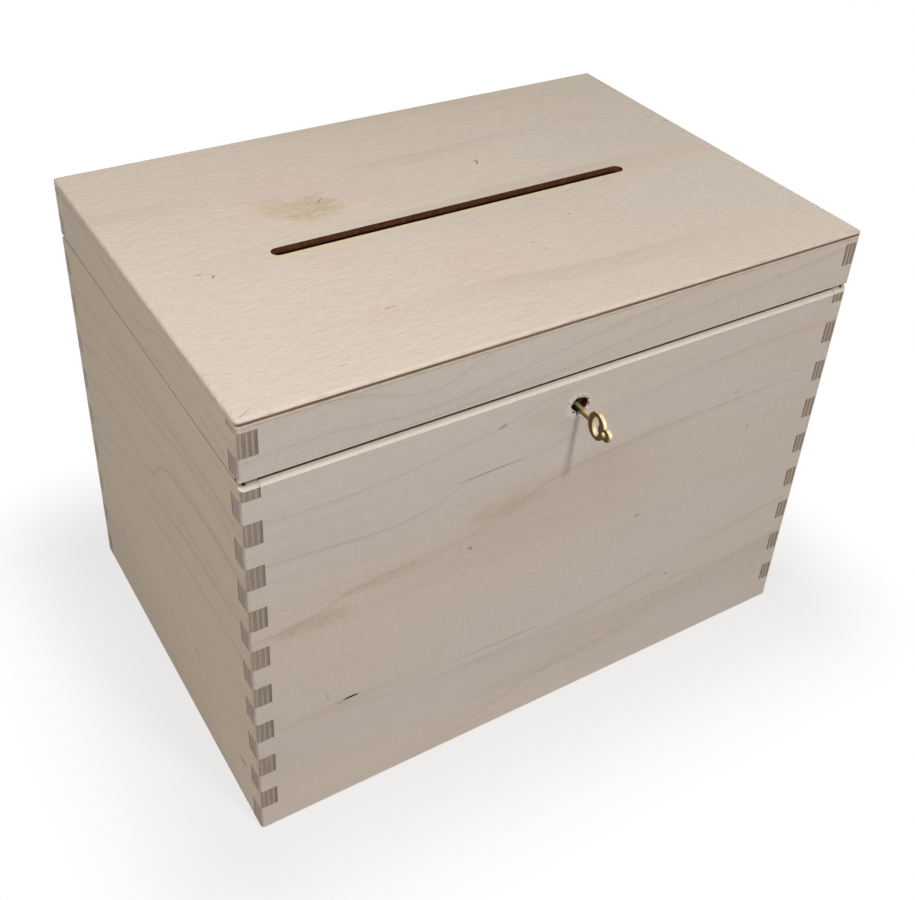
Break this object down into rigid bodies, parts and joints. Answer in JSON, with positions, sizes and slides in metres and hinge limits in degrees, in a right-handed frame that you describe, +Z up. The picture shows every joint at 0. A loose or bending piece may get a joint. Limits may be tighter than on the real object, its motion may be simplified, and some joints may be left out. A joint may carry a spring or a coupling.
{
  "type": "lockable envelope box",
  "caption": "Plywood box with finger-jointed corners, a hinged lid with a long envelope slot, and a box lock in the front wall with its key.",
  "frame": {"origin": "centre of the underside, on the bottom panel's lower face", "axes": "+X along the width, to the right of someone who faces the keyhole; +Y from the front to the rear; +Z up"},
  "size_m": [0.34, 0.2563, 0.2558],
  "materials": {
    "plywood": "bare sanded birch plywood",
    "brass": "polished, slightly tarnished",
    "steel": "plain bright steel"
  },
  "bodies": {
    "case": {"front_panel": "plywood", "back_panel": "plywood", "left_panel": "plywood", "right_panel": "plywood", "bottom_panel": "plywood", "left_hinge_body_leaf": "brass", "left_hinge_pin": "brass", "right_hinge_body_leaf": "brass", "right_hinge_pin": "brass", "left_hinge_body_screw_1": "brass", "left_hinge_body_screw_2": "brass", "right_hinge_body_screw_1": "brass", "right_hinge_body_screw_2": "brass", "lock_plate": "steel", "lock_cap": "steel", "bolt_spring": "steel", "lock_screw_1": "steel", "lock_screw_2": "steel", "lock_screw_3": "steel", "lock_screw_4": "steel"},
    "lid": {"lid_front_rail": "plywood", "lid_back_rail": "plywood", "lid_left_rail": "plywood", "lid_right_rail": "plywood", "lid_top_panel": "plywood", "left_hinge_lid_leaf": "brass", "right_hinge_lid_leaf": "brass", "left_hinge_lid_screw_1": "brass", "left_hinge_lid_screw_2": "brass", "right_hinge_lid_screw_1": "brass", "right_hinge_lid_screw_2": "brass", "link_plate": "brass", "link_screw_1": "brass", "link_screw_2": "brass"},
    "bolt": {"lock_bolt": "steel"},
    "key": {"key": "brass"}
  },
  "joints": [
    {"name": "lid_hinge", "type": "hinge", "parent": "case", "child": "lid", "pos_m": [0, 0.1125, 0.22405], "axis": [-1, 0, 0], "range_deg": [0, 92]},
    {"name": "key_turn", "type": "hinge", "parent": "case", "child": "key", "pos_m": [0, -0.116, 0.2032], "axis": [0, 1, 0], "range_deg": [0, 90]},
    {"name": "bolt_slide", "type": "slide", "parent": "case", "child": "bolt", "axis": [1, 0, 0], "range_m": [0, 0.004]}
  ],
  "couplings": [
    {"joint": "key_turn", "follows": "bolt_slide", "rad_per_m": 392.69}
  ]
}
